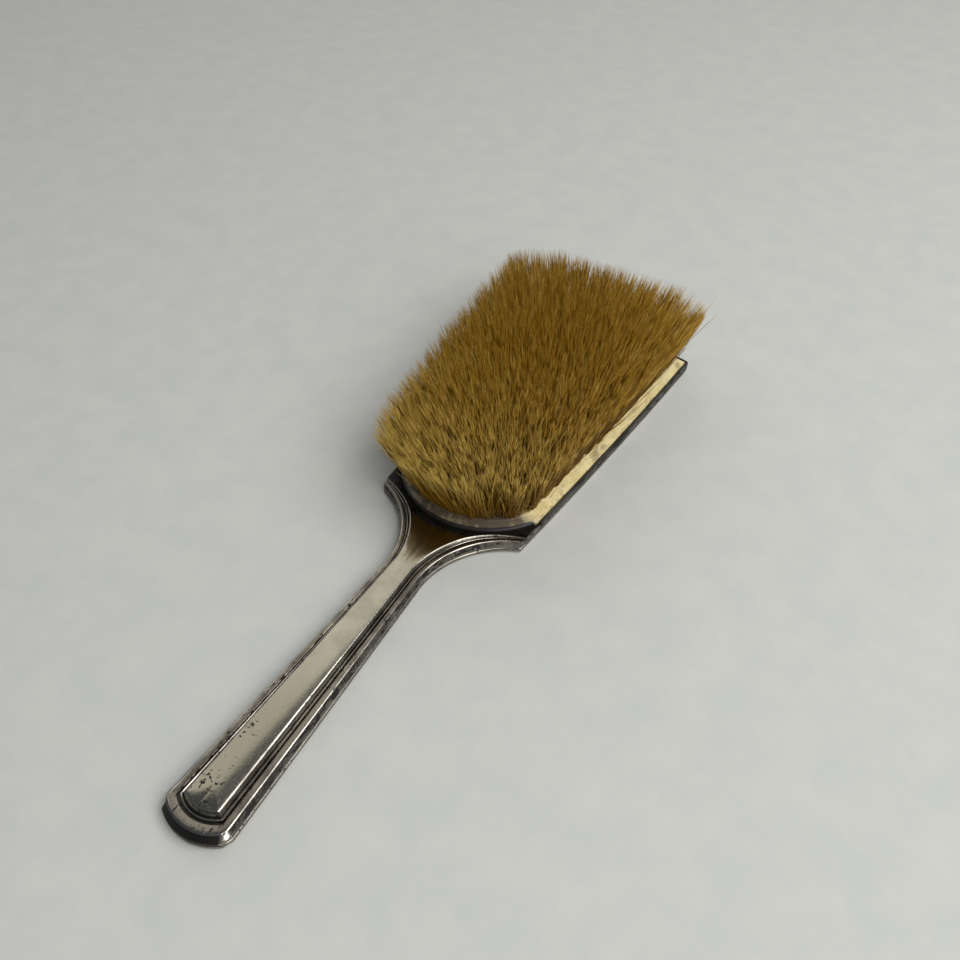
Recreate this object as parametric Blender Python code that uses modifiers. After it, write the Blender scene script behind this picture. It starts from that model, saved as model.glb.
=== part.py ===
"""Handled clothes brush: a stamped metal back and handle that hold a drilled board of natural bristle.

It lies on its back. +X runs from the butt of the handle to the far end of the head, +Y is across it, and
the bristle points up +Z. The origin is on the flat of the back, under the middle of the head.
Every shape is drawn from the butt, at x = 0, and hangs from one empty that moves the origin to its place.
"""

import math

import bpy
import bmesh
from mathutils import Matrix, Vector

MM = 0.001

# The metal's outline, seen from above.
LENGTH = 241.3 * MM
HEAD_LENGTH = 117.6 * MM
HEAD_NEAR_WIDTH = 51.8 * MM
HEAD_FAR_WIDTH = 72.2 * MM
HEAD_FAR_BOW = 4.6 * MM
HEAD_SIDE_BOW = 0.7 * MM
BUTT_WIDTH = 22.0 * MM
BUTT_BOW = 4.4 * MM
NECK_WIDTH = 13.8 * MM
SHOULDER_LENGTH = 28.0 * MM

# The metal's section.
SHELL_WALL = 0.7 * MM
SEAM_HEIGHT = 2.3 * MM
LIP_HEIGHT = 0.8 * MM
BORDER_HEIGHT = 4.9 * MM
PANEL_EDGE_HEIGHT = 6.5 * MM
PANEL_CROWN = 0.8 * MM
RIM_HEIGHT = 5.1 * MM
RIM_WIDTH = 0.8 * MM
DOME_INSET = 14.0 * MM

# Each step of the handle's border: its share of the half width, and how far it stands in from the butt.
BORDER_OUTER = (0.84, 2.3 * MM)
BORDER_INNER = (0.63, 5.2 * MM)
PANEL_EDGE = (0.46, 7.1 * MM)
BACK_FLAT = (0.40, 7.6 * MM)

# The board and its drilled field.
BOARD_START = 4.7 * MM
BOARD_END_BOW = 15.7 * MM
BOARD_BOTTOM = 3.2 * MM
BOARD_TOP = 6.6 * MM
BEVEL_WIDTH = 4.2 * MM
FIELD_MARGIN = 5.4 * MM
ROWS = 18
KNOT_PITCH = 6.2 * MM
KNOT_ROOT_RADIUS = 1.2 * MM
KNOT_FOLD = 0.9 * MM
KNOT_LENGTH = 29.0 * MM
KNOT_TIP_SHARE = 0.46
FAN_ACROSS = 1.33
FAN_ALONG = 1.19

# What lies inside.
WIRE_DIAMETER = 0.5 * MM
BED_MARGIN = 9.4 * MM
ROD_DIAMETER = 2.0 * MM
ROD_START = 11.0 * MM
ROD_END_ROOM = 2.4 * MM
FILLER_START = 14.0 * MM

# The filler's section, from the bottom up: each corner's share of the half width and of the height.
FILLER_CORNERS = ((0.46, 0.0), (0.66, 0.28), (0.66, 0.60), (0.30, 1.0))

# The clearance between neighbouring pieces, and the distance under which points count as one.
GAP = 0.3 * MM
MERGE = 0.005 * MM

# How finely the outlines are drawn.
BUTT_STEPS = 5
HANDLE_STEPS = 4
SHOULDER_STEPS = 9
APEX_STEP = 4
SIDE_STEPS = 5
FAR_STEPS = 5
DOME_STEPS = 4
BOARD_END_STEPS = 12
KNOT_SIDES = 6
BAR_SIDES = 10
CROWN_STEPS = 4
SETTLE_ROUNDS = 60

BUTT_CORNER = BUTT_BOW
NECK = LENGTH - HEAD_LENGTH - SHOULDER_LENGTH
HEAD_START = LENGTH - HEAD_LENGTH
FAR_CORNER = LENGTH - HEAD_FAR_BOW
ORIGIN = LENGTH - HEAD_LENGTH / 2

COLOURS = {
    "silver_plate": ((0.52, 0.50, 0.46), 0.32, 1.0),
    "tarnished_plate": ((0.16, 0.15, 0.14), 0.42, 1.0),
    "cream_board": ((0.83, 0.73, 0.50), 0.35, 0.0),
    "bristle": ((0.52, 0.32, 0.08), 0.60, 0.0),
    "cement": ((0.10, 0.07, 0.05), 0.80, 0.0),
    "steel": ((0.30, 0.30, 0.31), 0.45, 1.0),
}


def bow_radius(half_chord, bow):
    """The radius of an arc with this half chord and this bow."""
    return (half_chord**2 + bow**2) / (2 * bow)


def handle_half_width(x):
    """Half the handle's width, which narrows evenly from the butt's corners to the neck."""
    share = (x - BUTT_CORNER) / (NECK - BUTT_CORNER)
    return BUTT_WIDTH / 2 + share * (NECK_WIDTH - BUTT_WIDTH) / 2


def head_half_width(x):
    """Half the head's width, which widens from its near corners to its far ones, with a slight bow."""
    share = (x - HEAD_START) / (FAR_CORNER - HEAD_START)
    straight = HEAD_NEAR_WIDTH / 2 + share * (HEAD_FAR_WIDTH - HEAD_NEAR_WIDTH) / 2
    return straight + HEAD_SIDE_BOW * (1 - (2 * share - 1) ** 2)


SIDE_SLOPE = (HEAD_FAR_WIDTH - HEAD_NEAR_WIDTH) / 2 / (FAR_CORNER - HEAD_START)
SIDE_LEAN = math.hypot(1.0, SIDE_SLOPE)
FAR_RADIUS = bow_radius(HEAD_FAR_WIDTH / 2, HEAD_FAR_BOW)
BUTT_RADIUS = bow_radius(BUTT_WIDTH / 2, BUTT_BOW)
SHOULDER_RADIUS = bow_radius(SHOULDER_LENGTH, (HEAD_NEAR_WIDTH - NECK_WIDTH) / 2)


def side_y(x, inset):
    """The head's side line, moved in by inset."""
    return head_half_width(x) - inset * SIDE_LEAN


def arc(centre_x, radius, start, end, steps):
    """Points on an arc about (centre_x, 0), from one angle to the other."""
    turn = (end - start) / steps
    return [
        (centre_x + radius * math.cos(start + turn * i), radius * math.sin(start + turn * i))
        for i in range(steps + 1)
    ]


def between(first, last, steps):
    """The points after first, in even steps, up to last."""
    return [
        tuple(a + (b - a) * i / steps for a, b in zip(first, last)) for i in range(1, steps + 1)
    ]


def where_side_meets(centre_x, radius, inset, sign):
    """The point on the moved-in side line at this radius from (centre_x, 0), before (-1) or after it (1)."""
    x = centre_x
    for _ in range(SETTLE_ROUNDS):
        x = centre_x + sign * math.sqrt(radius**2 - side_y(x, inset) ** 2)
    return x, side_y(x, inset)


def handle_path(share, end_inset):
    """Half an outline of the handle, from the middle of the butt round its corner and up to the neck."""
    radius = BUTT_RADIUS - end_inset
    x = BUTT_CORNER
    for _ in range(SETTLE_ROUNDS):
        x = BUTT_RADIUS - math.sqrt(radius**2 - (share * handle_half_width(x)) ** 2)
    corner = (x, share * handle_half_width(x))
    angle = math.pi - math.asin(corner[1] / radius)
    points = arc(BUTT_RADIUS, radius, math.pi, angle, BUTT_STEPS)
    return points + between(corner, (NECK, share * NECK_WIDTH / 2), HANDLE_STEPS)


def shoulder_path(share, inset):
    """The shoulder's arc after the neck, up to where it meets the head's side, moved in by inset."""
    centre_y = NECK_WIDTH / 2 + SHOULDER_RADIUS
    radius = centre_y - share * NECK_WIDTH / 2
    angle = math.pi / 4
    for _ in range(SETTLE_ROUNDS):
        y = side_y(NECK + radius * math.sin(angle), inset)
        angle = math.acos((centre_y - y) / radius)
    turns = [angle * i / SHOULDER_STEPS for i in range(1, SHOULDER_STEPS + 1)]
    return [(NECK + radius * math.sin(t), centre_y - radius * math.cos(t)) for t in turns]


def head_path(start, inset):
    """The head's side and far end, moved in by inset, after the point where a shoulder meets the side."""
    centre_x = LENGTH - FAR_RADIUS
    radius = FAR_RADIUS - inset
    corner = where_side_meets(centre_x, radius, inset, 1)
    angle = math.asin(corner[1] / radius)
    side = [(x, side_y(x, inset)) for (x,) in between(start[:1], corner[:1], SIDE_STEPS)]
    return side + arc(centre_x, radius, angle, 0.0, FAR_STEPS)[1:]


def whole_path(share, end_inset, inset):
    """Half of the whole brush's outline, from the middle of the butt to the middle of the far end."""
    shoulder = shoulder_path(share, inset)
    return handle_path(share, end_inset) + shoulder + head_path(shoulder[-1], inset)


def board_path(inset, end_steps=BOARD_END_STEPS):
    """Half of the board's outline, moved in by inset from the inside of the rim's outline."""
    apex = HEAD_START - BOARD_START
    bow = BOARD_END_BOW
    end_radius = bow_radius(side_y(apex + bow, RIM_WIDTH), bow)
    centre_x = apex + end_radius
    radius = end_radius - inset
    start = where_side_meets(centre_x, radius, RIM_WIDTH + inset, -1)
    angle = math.pi - math.asin(start[1] / radius)
    points = arc(centre_x, radius, math.pi, angle, end_steps)
    return points + head_path(start, RIM_WIDTH + inset)


def lift(path, height):
    """The path's points at one height."""
    return [(x, y, height) for x, y in path]


def mirrored(half):
    """A closed loop from half of it, whose first and last points are on the middle line."""
    return half + [(x, -y, *rest) for x, y, *rest in reversed(half[1:-1])]


def material(name):
    """The named finish, made the first time that it is asked for."""
    found = bpy.data.materials.get(name)
    if found:
        return found
    colour, roughness, metallic = COLOURS[name]
    made = bpy.data.materials.new(name)
    made.use_nodes = True
    shader = made.node_tree.nodes["Principled BSDF"]
    shader.inputs["Base Color"].default_value = (*colour, 1.0)
    shader.inputs["Roughness"].default_value = roughness
    shader.inputs["Metallic"].default_value = metallic
    return made


def add(name, shape, finish, collection="clothes_brush"):
    """A named object from a bmesh, hung from the brush's empty."""
    mesh = bpy.data.meshes.new(name)
    shape.to_mesh(mesh)
    shape.free()
    made = bpy.data.objects.new(name, mesh)
    bpy.data.collections[collection].objects.link(made)
    made.parent = bpy.data.objects["brush_datum"]
    if finish:
        mesh.materials.append(material(finish))
    return made


def stitch(shape, rows, closed):
    """Faces between neighbouring rows of points, which all have the same number of points."""
    rings = [[shape.verts.new(point) for point in row] for row in rows]
    count = len(rings[0])
    for low, high in zip(rings, rings[1:]):
        for i in range(count if closed else count - 1):
            j = (i + 1) % count
            shape.faces.new((low[i], low[j], high[j], high[i]))
    return rings


def loft(loops):
    """A closed solid through closed loops, with flat ends."""
    shape = bmesh.new()
    rings = stitch(shape, loops, closed=True)
    shape.faces.new(reversed(rings[0]))
    shape.faces.new(rings[-1])
    bmesh.ops.recalc_face_normals(shape, faces=shape.faces)
    return shape


def tidy_half(shape):
    """Joins the points that two rows share, and drops the faces with no area that this leaves."""
    bmesh.ops.remove_doubles(shape, verts=shape.verts, dist=MERGE)
    bmesh.ops.dissolve_degenerate(shape, edges=shape.edges, dist=MERGE)


def thicken(half):
    """Mirrors half a skin across the middle and gives it the shell's wall, inside the drawn surface."""
    mirror = half.modifiers.new("other_half", "MIRROR")
    mirror.use_axis = (False, True, False)
    mirror.merge_threshold = MERGE
    wall = half.modifiers.new("wall", "SOLIDIFY")
    wall.thickness = SHELL_WALL
    wall.offset = -1.0
    return half


def make_back_shell():
    """The stamped back: a flat middle, and a curved edge that rises to an upright lip at the seam."""
    top = SEAM_HEIGHT - GAP / 2
    rows = [lift(whole_path(1.0, 0.0, 0.0), top)]
    for i in range(DOME_STEPS + 1):
        share = i / DOME_STEPS
        path = whole_path(
            1 + share * (BACK_FLAT[0] - 1), share * BACK_FLAT[1], share * DOME_INSET
        )
        rows.append(lift(path, (top - LIP_HEIGHT) * (1 - share) ** 2))
    rows.append([(x, 0.0, z) for x, _, z in rows[-1]])
    shape = bmesh.new()
    stitch(shape, rows, closed=False)
    tidy_half(shape)
    bmesh.ops.recalc_face_normals(shape, faces=shape.faces)
    lowest = min(shape.faces, key=lambda face: face.calc_center_median().z)
    if lowest.normal.z > 0:
        bmesh.ops.reverse_faces(shape, faces=shape.faces)
    return thicken(add("back_shell", shape, "silver_plate"))


def front_rows():
    """The handle's stepped border, as half outlines from the seam up to the crowned panel's edge."""
    base = SEAM_HEIGHT + GAP / 2
    steps = [
        ((1.0, 0.0), base, base),
        ((1.0, 0.0), base + LIP_HEIGHT, base + LIP_HEIGHT),
        (BORDER_OUTER, BORDER_HEIGHT, BORDER_HEIGHT),
        (BORDER_INNER, BORDER_HEIGHT, BORDER_HEIGHT),
        (PANEL_EDGE, PANEL_EDGE_HEIGHT, RIM_HEIGHT),
    ]
    rows = []
    for (share, end_inset), height, head_height in steps:
        row = lift(handle_path(share, end_inset), height)
        for i, (x, y) in enumerate(shoulder_path(share, 0.0), 1):
            fade = i / SHOULDER_STEPS
            row.append((x, y, height + fade * (head_height - height)))
        rows.append(row)
    return rows


def panel_middle(edge):
    """The panel's other edge, point for point: the middle line up to the board's opening, then round that."""
    top = PANEL_EDGE_HEIGHT + PANEL_CROWN
    start, corner = edge[0], edge[BUTT_STEPS]
    middle = []
    for share in (c / BUTT_STEPS for c in range(BUTT_STEPS + 1)):
        x = start[0] + share * (corner[0] + corner[1] - start[0])
        middle.append((x, 0.0, PANEL_EDGE_HEIGHT + share * PANEL_CROWN))
    neck = BUTT_STEPS + HANDLE_STEPS
    middle += [(x, 0.0, top) for x, _, _ in edge[BUTT_STEPS + 1 : neck + 1]]
    round_steps = SHOULDER_STEPS - APEX_STEP
    opening = lift(board_path(-GAP, round_steps)[: round_steps + 1], RIM_HEIGHT)
    for share in (c / APEX_STEP for c in range(1, APEX_STEP)):
        x = NECK + share * (opening[0][0] - NECK)
        middle.append((x, 0.0, top + share**2 * (RIM_HEIGHT - top)))
    return middle + opening


def panel_rows(edge):
    """The crowned panel, as rows from its edge to the middle."""
    middle = panel_middle(edge)
    rows = []
    for step in range(CROWN_STEPS + 1):
        inward = step / CROWN_STEPS
        rise = 1 - (1 - inward) ** 2
        rows.append([
            (a[0] + inward * (b[0] - a[0]), a[1] + inward * (b[1] - a[1]), a[2] + rise * (b[2] - a[2]))
            for a, b in zip(edge, middle)
        ])
    return rows


def make_front_shell():
    """The stamped front of the handle and the two spandrels that run out to the head's near corners."""
    rows = front_rows()
    shape = bmesh.new()
    stitch(shape, rows, closed=False)
    panel = panel_rows(rows[-1])
    stitch(shape, panel, closed=False)
    base = rows[0][-1][2]
    opening_end = panel[-1][-1]
    side_end = (opening_end[0], side_y(opening_end[0], 0.0), RIM_HEIGHT)
    tops = [row[-1] for row in rows[1:]] + [side_end]
    feet = [rows[0][-1]] + [(x, y, base) for x, y, _ in tops]
    corner = [shape.verts.new(point) for point in (feet[0], feet[1], tops[0])]
    shape.faces.new(corner)
    stitch(shape, [feet[1:], tops], closed=False)
    ends = [row[-1] for row in panel]
    for near, far in zip(ends, ends[1:]):
        shape.faces.new([shape.verts.new(point) for point in (near, side_end, far)])
    tidy_half(shape)
    bmesh.ops.recalc_face_normals(shape, faces=shape.faces)
    highest = max(shape.faces, key=lambda face: face.calc_center_median().z)
    if highest.normal.z < 0:
        bmesh.ops.reverse_faces(shape, faces=shape.faces)
    return thicken(add("front_shell", shape, "silver_plate"))


def make_head_rim():
    """The narrow rim that stands on the back's edge, from one spandrel round the far end to the other."""
    start_x = board_path(-GAP)[BOARD_END_STEPS][0] + GAP
    low, high = SEAM_HEIGHT + GAP / 2, RIM_HEIGHT
    outer, inner = (
        [start, *head_path(start, inset)]
        for inset in (0.0, RIM_WIDTH - GAP)
        for start in [(start_x, side_y(start_x, inset))]
    )
    shape = bmesh.new()
    ring = [lift(outer, low), lift(outer, high), lift(inner, high), lift(inner, low)]
    ring.append(ring[0])
    stitch(shape, ring, closed=False)
    shape.faces.new([shape.verts.new(row[0]) for row in ring[:4]])
    tidy_half(shape)
    bmesh.ops.recalc_face_normals(shape, faces=shape.faces)
    rim = add("head_rim", shape, "tarnished_plate")
    mirror = rim.modifiers.new("other_half", "MIRROR")
    mirror.use_axis = (False, True, False)
    mirror.merge_threshold = MERGE
    return rim


def field_half_width(x):
    """How far out from the middle line a knot's root may be, at this distance along the board."""
    apex = HEAD_START - BOARD_START
    end_radius = bow_radius(side_y(apex + BOARD_END_BOW, RIM_WIDTH), BOARD_END_BOW)
    past_side = side_y(x, RIM_WIDTH + FIELD_MARGIN)
    to_far_arc = x - (LENGTH - FAR_RADIUS)
    past_far = math.sqrt((FAR_RADIUS - RIM_WIDTH - FIELD_MARGIN) ** 2 - to_far_arc**2)
    to_near_arc = apex + end_radius - x
    if to_near_arc < 0:
        return min(past_side, past_far)
    return min(past_side, past_far, math.sqrt((end_radius - FIELD_MARGIN) ** 2 - to_near_arc**2))


FIELD_START = HEAD_START - BOARD_START + FIELD_MARGIN + KNOT_ROOT_RADIUS
FIELD_END = LENGTH - RIM_WIDTH - FIELD_MARGIN - KNOT_ROOT_RADIUS
FIELD_MIDDLE = (FIELD_START + FIELD_END) / 2
ROW_PITCH = (FIELD_END - FIELD_START) / (ROWS - 1)
KNOT_TIP_RADIUS = KNOT_TIP_SHARE * min(KNOT_PITCH * FAN_ACROSS, ROW_PITCH * FAN_ALONG)
KNOT_FOOT = BOARD_BOTTOM - KNOT_FOLD
STEEPEST_LEAN = math.atan2(HEAD_FAR_WIDTH / 2 * (FAN_ACROSS - 1), KNOT_LENGTH)


def row_knots(row):
    """The places of one row's knots, spread over the field's width. Odd and even counts take turns."""
    x = FIELD_START + row * ROW_PITCH
    half = field_half_width(x)
    count = round(2 * half / KNOT_PITCH) + 1
    count -= (count + row + 1) % 2
    return [(x, half * (2 * i / (count - 1) - 1)) for i in range(count)]


def add_cone(shape, place, length, clearance=0.0):
    """A knot, or with a clearance its hole: a cone that leans out from the middle of the field."""
    x, y = place
    root = Vector((x, y, KNOT_FOOT))
    lean = Vector(((x - FIELD_MIDDLE) * (FAN_ALONG - 1), y * (FAN_ACROSS - 1), KNOT_LENGTH))
    direction = lean.normalized()
    turn = direction.to_track_quat("Z", "Y").to_matrix().to_4x4()
    spread = (KNOT_TIP_RADIUS - KNOT_ROOT_RADIUS) * length / KNOT_LENGTH
    bmesh.ops.create_cone(
        shape,
        cap_ends=True,
        segments=KNOT_SIDES,
        radius1=KNOT_ROOT_RADIUS + clearance,
        radius2=KNOT_ROOT_RADIUS + clearance + spread,
        depth=length,
        matrix=Matrix.Translation(root + direction * length / 2) @ turn,
    )


def make_board():
    """The board: a flat field with a bevelled edge, drilled through for every knot."""
    edge = mirrored(board_path(GAP))
    field = mirrored(board_path(GAP + BEVEL_WIDTH))
    shape = loft([lift(edge, BOARD_BOTTOM), lift(edge, RIM_HEIGHT - GAP), lift(field, BOARD_TOP)])
    board = add("brush_board", shape, "cream_board")
    holes = bmesh.new()
    for row in range(ROWS):
        for place in row_knots(row):
            add_cone(holes, place, 2 * BOARD_TOP, GAP)
    combine(board, "DIFFERENCE", add("knot_holes", holes, None, "cutters"))


def combine(piece, operation, helper):
    """Cuts the helper's shape out of the piece or joins it on, and keeps the helper out of the model."""
    helper.hide_render = True
    helper.display_type = "WIRE"
    boolean = piece.modifiers.new(helper.name, "BOOLEAN")
    boolean.operation = operation
    boolean.solver = "EXACT"
    boolean.object = helper


def make_bristle_rows():
    """One object for each row: its knots, and the wire under the board that they are all drawn on."""
    for row in range(ROWS):
        knots = bmesh.new()
        places = row_knots(row)
        for place in places:
            add_cone(knots, place, KNOT_LENGTH)
        piece = add(f"bristle_row_{row + 1:02d}", knots, "bristle")
        wire = bmesh.new()
        height = BOARD_BOTTOM - GAP - WIRE_DIAMETER / 2
        ends = [Vector((places[i][0], places[i][1], height)) for i in (0, -1)]
        add_bar(wire, *ends, WIRE_DIAMETER / 2)
        combine(piece, "UNION", add(f"drawing_wire_{row + 1:02d}", wire, None, "cutters"))


def add_bar(shape, start, end, radius):
    """A round bar from one point to another."""
    along = end - start
    turn = along.to_track_quat("Z", "Y").to_matrix().to_4x4()
    bmesh.ops.create_cone(
        shape,
        cap_ends=True,
        segments=BAR_SIDES,
        radius1=radius,
        radius2=radius,
        depth=along.length,
        matrix=Matrix.Translation((start + end) / 2) @ turn,
    )


def make_setting_cement():
    """The cement bed between the back and the knots' feet."""
    outline = mirrored(board_path(BED_MARGIN))
    top = KNOT_FOOT - KNOT_ROOT_RADIUS * math.sin(STEEPEST_LEAN) - GAP
    shape = loft([lift(outline, SHELL_WALL + GAP), lift(outline, top)])
    add("setting_cement", shape, "cement")


def make_handle_filler():
    """The cement inside the handle, with the rod's bore through it."""
    bottom = SHELL_WALL + 2 * GAP
    top = PANEL_EDGE_HEIGHT - SHELL_WALL - 2 * GAP
    corners = [(share, bottom + up * (top - bottom)) for share, up in FILLER_CORNERS]
    loops = []
    for x in (FILLER_START, NECK):
        half = handle_half_width(x)
        left = [(x, share * half, z) for share, z in corners]
        loops.append(left + [(x, -y, z) for x, y, z in reversed(left)])
    filler = add("handle_filler", loft(loops), "cement")
    bore = bmesh.new()
    add_bar(bore, *rod_ends(past=SHOULDER_LENGTH), ROD_DIAMETER / 2 + GAP)
    combine(filler, "DIFFERENCE", add("rod_bore", bore, None, "cutters"))


def rod_ends(past=0.0):
    """The ends of the rod's line, or of a line that runs past them both."""
    end = HEAD_START - BOARD_START - ROD_END_ROOM
    height = PANEL_EDGE_HEIGHT / 2
    return Vector((ROD_START - past, 0.0, height)), Vector((end + past, 0.0, height))


def make_stiffening_rod():
    """The steel rod down the handle, which stops short of the board."""
    shape = bmesh.new()
    add_bar(shape, *rod_ends(), ROD_DIAMETER / 2)
    add("stiffening_rod", shape, "steel")


def clear_scene():
    for old in list(bpy.data.objects):
        bpy.data.objects.remove(old)


def make_collections():
    """One collection for the brush, one for its cutters, and the empty that sets the origin."""
    for name in ("clothes_brush", "cutters"):
        bpy.context.scene.collection.children.link(bpy.data.collections.new(name))
    datum = bpy.data.objects.new("brush_datum", None)
    datum.location.x = -ORIGIN
    bpy.data.collections["clothes_brush"].objects.link(datum)


def main():
    clear_scene()
    make_collections()
    make_back_shell()
    make_front_shell()
    make_head_rim()
    make_board()
    make_bristle_rows()
    make_setting_cement()
    make_handle_filler()
    make_stiffening_rod()


main()
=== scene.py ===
import math

import bmesh
import bpy
import numpy as np
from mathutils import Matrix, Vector


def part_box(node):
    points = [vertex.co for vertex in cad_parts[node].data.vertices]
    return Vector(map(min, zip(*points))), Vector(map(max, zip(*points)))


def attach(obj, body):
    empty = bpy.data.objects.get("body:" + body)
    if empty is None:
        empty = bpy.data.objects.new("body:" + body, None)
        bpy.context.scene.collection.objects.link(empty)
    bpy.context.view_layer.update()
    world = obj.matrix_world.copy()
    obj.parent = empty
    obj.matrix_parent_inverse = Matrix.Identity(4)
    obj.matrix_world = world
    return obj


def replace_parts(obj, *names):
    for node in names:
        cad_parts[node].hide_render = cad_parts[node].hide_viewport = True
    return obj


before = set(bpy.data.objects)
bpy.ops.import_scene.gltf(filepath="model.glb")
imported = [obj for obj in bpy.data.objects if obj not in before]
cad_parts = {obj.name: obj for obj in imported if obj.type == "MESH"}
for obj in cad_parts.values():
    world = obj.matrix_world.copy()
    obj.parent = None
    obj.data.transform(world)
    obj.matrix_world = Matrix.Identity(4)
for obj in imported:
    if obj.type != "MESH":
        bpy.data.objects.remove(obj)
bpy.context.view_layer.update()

# The looks of a handled clothes brush: a silver-plated, stamped back and handle that have tarnished, a cream
# board with worn edges, and one field of trimmed boar bristle.
# Lengths are in millimetres, and x is measured from the butt of the handle, until a mesh is made.

MM = 0.001

# What the frame says.
FRONT, BACK, RIM, BOARD = (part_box(node) for node in ("front_shell", "back_shell", "head_rim", "brush_board"))
ROW_NODES = sorted(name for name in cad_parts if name.startswith("bristle_row_"))
BUTT_X = FRONT[0].x / MM
LENGTH = RIM[1].x / MM - BUTT_X
HEAD_FAR_WIDTH = 2 * RIM[1].y / MM
FRONT_BASE = FRONT[0].z / MM
PANEL_TOP = FRONT[1].z / MM
RIM_TOP = RIM[1].z / MM
BACK_TOP = BACK[1].z / MM
BOARD_BOTTOM = BOARD[0].z / MM
BOARD_TOP = BOARD[1].z / MM
TIP_HEIGHT = max(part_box(name)[1].z for name in ROW_NODES) / MM

# The metal's outline, as the solids have it.
HEAD_LENGTH = 117.6
HEAD_NEAR_WIDTH = 51.8
HEAD_FAR_BOW = 4.6
HEAD_SIDE_BOW = 0.7
BUTT_WIDTH = 22.0
BUTT_BOW = 4.4
NECK_WIDTH = 13.8
SHOULDER_LENGTH = 28.0
RIM_WIDTH = 0.8
BOARD_START = 4.7
BOARD_END_BOW = 15.7
FIELD_MARGIN = 5.4
KNOT_PITCH = 6.2
KNOT_ROOT_RADIUS = 1.2
FAN_ACROSS = 1.33
FAN_ALONG = 1.19

NECK = LENGTH - HEAD_LENGTH - SHOULDER_LENGTH
HEAD_START = LENGTH - HEAD_LENGTH
FAR_CORNER = LENGTH - HEAD_FAR_BOW
APEX = HEAD_START - BOARD_START

# How finely the metal is drawn.
BUTT_STEPS = 16
HANDLE_STEPS = 40
SHOULDER_STEPS = 36
APEX_STEP = 16
SIDE_STEPS = 40
FAR_STEPS = 28
CROWN_STEPS = 22
SETTLE_ROUNDS = 60
MERGE = 0.003
CREASE = 0.55  # an edge that turns by more than this many radians is drawn sharp
SHADES = "OFBake"  # the map whose u is a strand's own shade and whose v runs from its root to its tip


# ---------------------------------------------------------------- outlines


def bow_radius(half_chord, bow):
    """The radius of an arc with this half chord and this bow."""
    return (half_chord**2 + bow**2) / (2 * bow)


BUTT_RADIUS = bow_radius(BUTT_WIDTH / 2, BUTT_BOW)
FAR_RADIUS = bow_radius(HEAD_FAR_WIDTH / 2, HEAD_FAR_BOW)
SHOULDER_RADIUS = bow_radius(SHOULDER_LENGTH, (HEAD_NEAR_WIDTH - NECK_WIDTH) / 2)
SIDE_LEAN = math.hypot(1.0, (HEAD_FAR_WIDTH - HEAD_NEAR_WIDTH) / 2 / (FAR_CORNER - HEAD_START))


def handle_half_width(x):
    """Half the handle's width, from the butt's corners to the neck."""
    share = (x - BUTT_BOW) / (NECK - BUTT_BOW)
    return BUTT_WIDTH / 2 + share * (NECK_WIDTH - BUTT_WIDTH) / 2


def side_y(x, inset):
    """The head's side line, moved in by inset."""
    share = (x - HEAD_START) / (FAR_CORNER - HEAD_START)
    straight = HEAD_NEAR_WIDTH / 2 + share * (HEAD_FAR_WIDTH - HEAD_NEAR_WIDTH) / 2
    return straight + HEAD_SIDE_BOW * (1 - (2 * share - 1) ** 2) - inset * SIDE_LEAN


def arc(centre_x, radius, start, end, steps):
    """Points on an arc about (centre_x, 0), from one angle to the other."""
    angles = np.linspace(start, end, steps + 1)
    return [(centre_x + radius * math.cos(a), radius * math.sin(a)) for a in angles]


def between(first, last, steps):
    """The points after first, in even steps, up to last."""
    shares = np.linspace(0, 1, steps + 1)[1:]
    return [tuple(a + (b - a) * share for a, b in zip(first, last)) for share in shares]


def where_side_meets(centre_x, radius, inset, sign):
    """The point on the moved-in side line at this radius from (centre_x, 0), before (-1) or after it (1)."""
    x = centre_x
    for _ in range(SETTLE_ROUNDS):
        x = centre_x + sign * math.sqrt(radius**2 - side_y(x, inset) ** 2)
    return x, side_y(x, inset)


def end_inset(share):
    """How far in from the butt's end the border line at this share of the half width turns across."""
    return float(np.interp(share, (0.40, 0.46, 0.63, 0.84, 1.0), (7.6, 7.1, 5.2, 2.3, 0.0)))


def handle_path(share, clip):
    """Half a line of the handle's border: round the butt, past its clipped corner and up to the neck."""
    radius = BUTT_RADIUS - end_inset(share)
    x = BUTT_BOW
    for _ in range(SETTLE_ROUNDS):
        x = BUTT_RADIUS - math.sqrt(radius**2 - (share * handle_half_width(x)) ** 2)
    y = share * handle_half_width(x)
    angle = math.pi - math.asin(y / radius) + clip / radius
    points = arc(BUTT_RADIUS, radius, math.pi, angle, BUTT_STEPS)
    start = (x + clip, share * handle_half_width(x + clip))
    return points + [start] + between(start, (NECK, share * NECK_WIDTH / 2), HANDLE_STEPS)


def shoulder_path(share, inset, pinch):
    """The shoulder's arc from the neck to the head's side. Its border narrows by pinch towards the corner."""
    centre_y = NECK_WIDTH / 2 + SHOULDER_RADIUS
    width = (1 - share) * NECK_WIDTH / 2
    outline_end = math.asin(SHOULDER_LENGTH / SHOULDER_RADIUS)

    def place(angle):
        late = min(1.0, max(0.0, 2 * angle / outline_end - 1))
        radius = SHOULDER_RADIUS + width * (1 - pinch * late * late * (3 - 2 * late))
        return NECK + radius * math.sin(angle), centre_y - radius * math.cos(angle)

    low, high = 0.5 * outline_end, 1.35 * outline_end
    for _ in range(SETTLE_ROUNDS):
        middle = (low + high) / 2
        x, y = place(middle)
        if y < side_y(x, inset):
            low = middle
        else:
            high = middle
    return [place(low * i / SHOULDER_STEPS) for i in range(1, SHOULDER_STEPS + 1)]


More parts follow.
